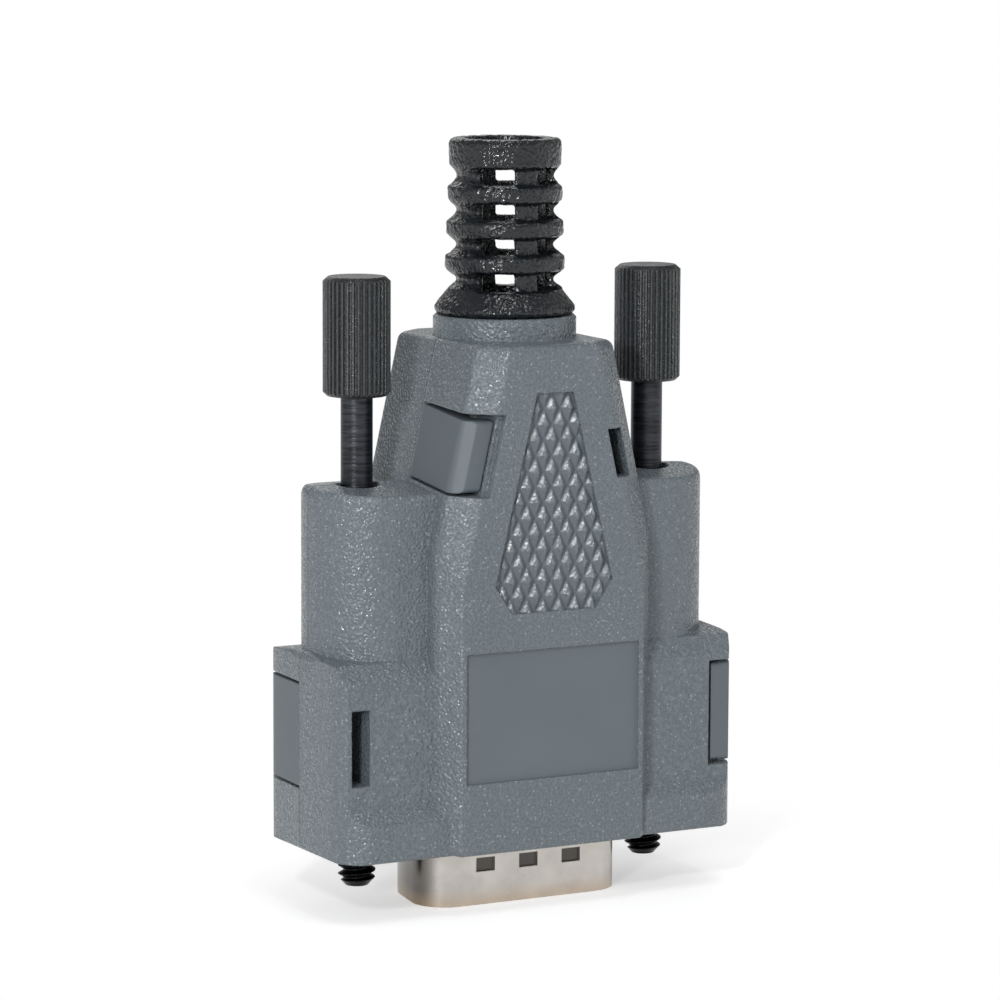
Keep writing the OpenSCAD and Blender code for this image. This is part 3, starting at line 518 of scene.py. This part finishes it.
class HoodSizes(bpy.types.PropertyGroup):
    """Sizes of the pieces that are made here."""

    thread_pitch: FloatProperty(name="Thread pitch", description="Pitch of the jackscrew threads",
                                default=0.635 * MM, unit="LENGTH")
    thread_depth: FloatProperty(name="Thread depth", description="Depth of the jackscrew threads",
                                default=0.39 * MM, unit="LENGTH", precision=5)
    skin_cell: FloatProperty(name="Boot mesh", description="Mesh size of the boot's skin",
                             default=0.12 * MM, unit="LENGTH", precision=5)
    boot_grain: FloatProperty(name="Boot grain", description="Width of the boot's leathery grain",
                              default=0.6 * MM, unit="LENGTH", precision=5)
    boot_depth: FloatProperty(name="Boot grain depth", description="Depth of the boot's leathery grain",
                              default=0.07 * MM, unit="LENGTH", precision=5)


class HoodStage(bpy.types.PropertyGroup):
    """Camera and light."""

    azimuth: FloatProperty(name="Azimuth", description="Turn of the camera to the left of the front",
                           default=math.radians(28.613), subtype="ANGLE")
    elevation: FloatProperty(name="Elevation", description="Height of the camera above the horizon",
                             default=math.radians(8.652), subtype="ANGLE")
    roll: FloatProperty(name="Roll", description="Roll of the camera", default=math.radians(0.259),
                        subtype="ANGLE")
    distance: FloatProperty(name="Distance", description="Distance from the camera to its target",
                            default=339.76 * MM, unit="LENGTH")
    target: FloatVectorProperty(name="Target", description="Point that the camera circles",
                                default=(0, 0, 25 * MM), subtype="TRANSLATION")
    aim: FloatVectorProperty(name="Aim", description="Turn to the right and up from the target, as tangents",
                             size=2, default=(-0.00083, 0.014938), precision=5)
    lens: FloatProperty(name="Lens", description="Focal length on a 36 mm sensor, in millimetres",
                        default=160.7)
    paper_glow: FloatProperty(name="Paper glow", description="Light that the paper shows besides the lamps'",
                              default=0.45)


# --- Pieces ----------------------------------------------------------------

class HOOD_OT_shells(bpy.types.Operator):
    """Finish the two half shells"""

    bl_idname = "hood.shells"
    bl_label = "Half shells"

    def execute(self, context):
        colour = context.scene.hood_finish.hood_colour
        for side, half in (("front", -1), ("rear", 1)):
            plastic = eroded_abs(f"ABS moulded spark-eroded {side}", colour, half)
            smooth_cad(f"{side}_shell", plastic, weighted=True)
        return {"FINISHED"}


class HOOD_OT_boot(bpy.types.Operator):
    """Finish the strain-relief boot"""

    bl_idname = "hood.boot"
    bl_label = "Boot"

    def execute(self, context):
        colour = context.scene.hood_finish.boot_colour
        sizes = context.scene.hood_sizes
        rubber = flecked("PVC moulded leather-grained", colour, 0.2, 0.24 * MM, 0.1 * MM, detail=0,
                         rounding=0)
        moulded_skin("strain_relief_boot", rubber, sizes.skin_cell, sizes.boot_grain, sizes.boot_depth)
        return {"FINISHED"}


def turned_surface(x, heights, radii):
    """Closed surface round a vertical axis at x, from the radius at each height and angle.

    Row i is the ring z = heights[i], r = radii[i, j] at angle 2 pi j / columns;
    a point on the axis closes each end. Returns points and faces, facing outwards.
    """
    rows, columns = radii.shape
    angle = TAU * np.arange(columns) / columns
    rings = np.stack([x + radii * np.cos(angle), radii * np.sin(angle),
                      np.broadcast_to(heights[:, None], radii.shape)], -1).reshape(-1, 3)
    ends = np.array([[x, 0, heights[0]], [x, 0, heights[-1]]])
    i, j = np.meshgrid(np.arange(rows - 1) * columns, np.arange(columns), indexing="ij")
    k = (j + 1) % columns
    sides = np.stack([i + j, i + k, i + columns + k, i + columns + j], -1).reshape(-1, 4)
    j, k = j[0], k[0]
    low = np.stack([k, j, np.full(columns, rows * columns)], -1)
    top = np.stack([j, k, np.full(columns, rows * columns + 1)], -1)
    top[:, :2] += (rows - 1) * columns
    return np.concatenate([rings, ends]), [sides, low, top]


def threaded_rod(node, name, material, pitch, depth, columns=72):
    """A jackscrew rod with its real thread, in place of the CAD node's plain one.

    The thread is r = R - depth * tooth(z / pitch - angle / 2 pi) up to the
    thread's end, where tooth runs 0 at the crest to 1 at the root in straight
    flanks; a chamfer trims the tip, and the shank, ring groove and end follow
    as in the CAD node.
    """
    low, high = corners(node)
    ring_low, ring_high = corners(node.replace("jackscrew_rod", "retaining_ring"))
    groove_low, groove_high = ring_low[2] - RING_GAP, ring_high[2] + RING_GAP
    crest = (high[0] - low[0]) / 2
    thread_end = low[2] + THREAD_LENGTH
    thread_rows = np.arange(low[2], thread_end + 0.9 * pitch, pitch / 20)
    # each plain row's height and radius; the groove's walls are a micron thick
    plain = np.array([[thread_rows[-1] + 0.05 * MM, SHANK_RADIUS], [groove_low - 1e-6, SHANK_RADIUS],
                      [groove_low, GROOVE_RADIUS], [groove_high, GROOVE_RADIUS],
                      [groove_high + 1e-6, SHANK_RADIUS], [high[2], SHANK_RADIUS]])
    z = np.concatenate([thread_rows, plain[:, 0]])
    turn = (z[:, None] / pitch - np.arange(columns) / columns) % 1
    tooth = np.clip((np.abs(turn - 0.5) * 2 - CREST_SHARE) / FLANK_SHARE, 0, 1)
    # the thread starts from a chamfered tip and runs out into the shank
    tip = crest - TIP_CHAMFER + (z[:, None] - low[2]) * TIP_SLOPE
    threaded = np.minimum(crest - depth * tooth, tip)
    run_out = smoothstep(z, thread_end - 0.6 * pitch, thread_end + 0.4 * pitch)[:, None]
    radii = threaded * (1 - run_out) + SHANK_RADIUS * run_out
    radii[-len(plain):] = plain[:, 1:]
    points, faces = turned_surface((low[0] + high[0]) / 2, z, radii)
    return merged(points, faces, name, material, angle=40)


class HOOD_OT_jackscrews(bpy.types.Operator):
    """Make the threaded rods and finish the knobs and rings"""

    bl_idname = "hood.jackscrews"
    bl_label = "Jackscrews"

    def execute(self, context):
        finish = context.scene.hood_finish
        sizes = context.scene.hood_sizes
        low, high = corners("right_knob")
        ridges = ((low[0] + high[0]) / 2, (high[0] - low[0]) / 2)
        knob = flecked("Nylon moulded fine-grained", finish.knob_colour, 0.34, 0.22 * MM, 0.05 * MM,
                       glint_flecks=0.3, rounding=0.03 * MM, knob=ridges)
        steel = turned_metal("Steel drawn black-oxide", "#3a3c40", 0.34, metallic=0.95, depth=0.035 * MM,
                             dark_below=6 * MM)
        ring = turned_metal("Spring steel rolled", "#9a9da0", 0.3)
        for side in ("left", "right"):
            smooth_cad(f"{side}_knob", knob, angle=24)
            smooth_cad(f"{side}_retaining_ring", ring)
            node = f"{side}_jackscrew_rod"
            rod = threaded_rod(node, f"{side}_threaded_rod", steel, sizes.thread_pitch, sizes.thread_depth)
            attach(rod, body_of(frame["nodes"][node])[0])
            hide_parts(node)
        return {"FINISHED"}


class HOOD_OT_connector(bpy.types.Operator):
    """Finish the plug connector and the cable clamp"""

    bl_idname = "hood.connector"
    bl_label = "Connector"

    def execute(self, context):
        finish = context.scene.hood_finish
        plate = nickel_plate("Steel drawn nickel-plated", finish.plate_colour)
        body = flecked("PBT moulded smooth", "#1b1d1f", 0.36, 0.5 * MM, 0.01 * MM)
        gold = turned_metal("Copper alloy turned gold-plated", "#e0b860", 0.25)
        for node in ("plug_front_shell", "plug_rear_shell", "cable_clamp_front", "cable_clamp_rear",
                     "clamp_screws"):
            smooth_cad(node, plate)
        for node in ("front_insulator", "rear_insulator"):
            smooth_cad(node, body)
        for i in range(1, 10):
            smooth_cad(f"contact_{i}", gold)
        return {"FINISHED"}


# --- Stage -----------------------------------------------------------------

# name, place and size in metres, watts; the sparks are small so that the grain glints
LAMPS = (
    ("key", (-0.5, -0.42, 0.5), (0.35, 0.35), 0.35),
    ("spark", (-0.5, -0.46, 0.17), (0.07, 0.09), 1.75),
    ("spark high", (-0.44, -0.48, 0.46), (0.06, 0.07), 1.2),
    ("front", (0.12, -0.8, 0.15), (0.7, 0.5), 0.6),
    ("fill left", (-0.7, 0.1, 0.2), (0.5, 0.5), 0.4),
    ("fill right", (0.65, -0.3, 0.3), (0.4, 0.6), 0.65),
    ("top", (0.0, -0.2, 0.75), (0.25, 0.25), 0.9),
    ("back", (0.2, 0.7, 0.5), (0.5, 0.5), 1.1),
)
LAMPS_AIM = (0, 0, 0.03)
ROOM_LIGHT = 0.3
# the paper shows the shadow up to the first distance from the axis, and is plain white from the second
PAPER_FADE = (18 * MM, 45 * MM)
PAPER_HALF = 15


def softbox(name, place, size, power):
    """A rectangular area light at place that faces the object."""
    light = bpy.data.lights.new(name, "AREA")
    light.shape = "RECTANGLE"
    light.size, light.size_y = size
    light.energy = power
    obj = bpy.data.objects.new(name, light)
    obj.location = place
    obj.rotation_euler = (Vector(LAMPS_AIM) - Vector(place)).to_track_quat("-Z", "Y").to_euler()
    bpy.context.scene.collection.objects.link(obj)


def seen_by(tree, *rays):
    """1 for rays of those kinds, else 0."""
    path = add(tree, "ShaderNodeLightPath").outputs
    result = 0.0
    for ray in rays:
        result = add(tree, MATH, (result, path[f"Is {ray} Ray"]), operation="MAXIMUM")
    return result


def camera_matrix(stage):
    """The camera circles the target, then turns by the aim and rolls: its 4 x 4 matrix."""
    a, e = stage.azimuth, stage.elevation
    back = np.array([-math.sin(a) * math.cos(e), -math.cos(a) * math.cos(e), math.sin(e)])
    right = np.cross(-back, [0, 0, 1])
    right /= np.linalg.norm(right)
    up = np.cross(right, -back)
    forward = -back + stage.aim[0] * right + stage.aim[1] * up
    forward /= np.linalg.norm(forward)
    right = np.cross(forward, up)
    right /= np.linalg.norm(right)
    up = np.cross(right, forward)
    c, s = math.cos(stage.roll), math.sin(stage.roll)
    matrix = np.eye(4)
    matrix[:3, 0] = c * right + s * up
    matrix[:3, 1] = c * up - s * right
    matrix[:3, 2] = -forward
    matrix[:3, 3] = np.array(stage.target) + stage.distance * back
    return Matrix(matrix.tolist())


def white_room():
    """A world that is white for the camera and through gaps, and dimmer for the object."""
    world = bpy.data.worlds.new("studio")
    world.use_nodes = True
    tree = world.node_tree
    tree.nodes.clear()
    room = add(tree, "ShaderNodeBackground", {"Color": (1, 1, 1, 1), "Strength": ROOM_LIGHT})
    white = add(tree, "ShaderNodeBackground", {"Color": (1, 1, 1, 1), "Strength": 1.0})
    mix = add(tree, "ShaderNodeMixShader", (seen_by(tree, "Camera", "Transmission"), room, white))
    add(tree, "ShaderNodeOutputWorld", (mix,))
    return world


def white_paper(glow):
    """White paper that shows the object's shadow close by and is plain white further off.

    From below it is clear, so that the underside of the plug shows.
    """
    material, tree = blank_material("Paper coated matte")
    place = add(tree, "ShaderNodeTexCoord").outputs["Object"]
    flat = add(tree, "ShaderNodeVectorMath", (place, (1, 1, 0)), operation="MULTIPLY")
    away = add(tree, "ShaderNodeVectorMath", (flat,), operation="LENGTH").outputs["Value"]
    paper = add(tree, "ShaderNodeBsdfPrincipled", {"Base Color": linear("#e8e8e8"), "Roughness": 0.9})
    lit = add(tree, "ShaderNodeAddShader", (paper, add(tree, "ShaderNodeEmission", {"Strength": glow})))
    plain = add(tree, "ShaderNodeEmission", {"Strength": 1.0})
    far = add(tree, RANGE, (away, *PAPER_FADE), **SMOOTH)
    shown = add(tree, "ShaderNodeMixShader", (far, lit, plain))
    seen = seen_by(tree, "Camera", "Transmission", "Glossy")
    above = add(tree, "ShaderNodeMixShader", (seen, paper, shown))
    below = add(tree, "ShaderNodeNewGeometry").outputs["Backfacing"]
    clear = add(tree, "ShaderNodeBsdfTransparent")
    add(tree, "ShaderNodeOutputMaterial", (add(tree, "ShaderNodeMixShader", (below, above, clear)),))
    return material


class HOOD_OT_stage(bpy.types.Operator):
    """Make the camera, lights and floor"""

    bl_idname = "hood.stage"
    bl_label = "Stage"

    def execute(self, context):
        scene = context.scene
        stage = scene.hood_stage
        scene.view_settings.view_transform = "Standard"
        camera = bpy.data.objects.new("camera", bpy.data.cameras.new("camera"))
        camera.data.lens = stage.lens
        camera.data.sensor_width = 36
        camera.data.clip_start = 0.01
        camera.data.clip_end = 20
        camera.matrix_world = camera_matrix(stage)
        scene.collection.objects.link(camera)
        scene.camera = camera
        for lamp in LAMPS:
            softbox(*lamp)
        scene.world = white_room()
        points = np.array([[-1, -1, 0], [1, -1, 0], [1, 1, 0], [-1, 1, 0]]) * float(PAPER_HALF)
        points[:, 2] = CAD_BOX[0][2]
        paper = white_paper(stage.paper_glow)
        floor = piece("floor", points, [np.array([[0, 1, 2, 3]])], paper, smooth=False)
        return {"FINISHED"}


class HOOD_PT_panel(bpy.types.Panel):
    """Lists the pieces in the 3D view's sidebar"""

    bl_idname = "HOOD_PT_panel"
    bl_label = "D-sub hood"
    bl_space_type = "VIEW_3D"
    bl_region_type = "UI"
    bl_category = "Hood"

    def draw(self, context):
        for group in (context.scene.hood_finish, context.scene.hood_sizes, context.scene.hood_stage):
            box = self.layout.box()
            for name in group.__annotations__:
                box.prop(group, name)
        for operator in OPERATORS:
            self.layout.operator(operator.bl_idname)


OPERATORS = (HOOD_OT_shells, HOOD_OT_boot, HOOD_OT_jackscrews, HOOD_OT_connector, HOOD_OT_stage)
GROUPS = {"hood_finish": HoodFinish, "hood_sizes": HoodSizes, "hood_stage": HoodStage}


def register():
    for cls in (*GROUPS.values(), *OPERATORS, HOOD_PT_panel):
        bpy.utils.register_class(cls)
    for name, group in GROUPS.items():
        setattr(bpy.types.Scene, name, PointerProperty(type=group))


def unregister():
    for name in GROUPS:
        delattr(bpy.types.Scene, name)
    for cls in (HOOD_PT_panel, *reversed(OPERATORS), *GROUPS.values()):
        bpy.utils.unregister_class(cls)


def main():
    register()
    bpy.ops.hood.shells()
    bpy.ops.hood.boot()
    bpy.ops.hood.jackscrews()
    bpy.ops.hood.connector()
    bpy.ops.hood.stage()


if __name__ == "__main__":
    main()
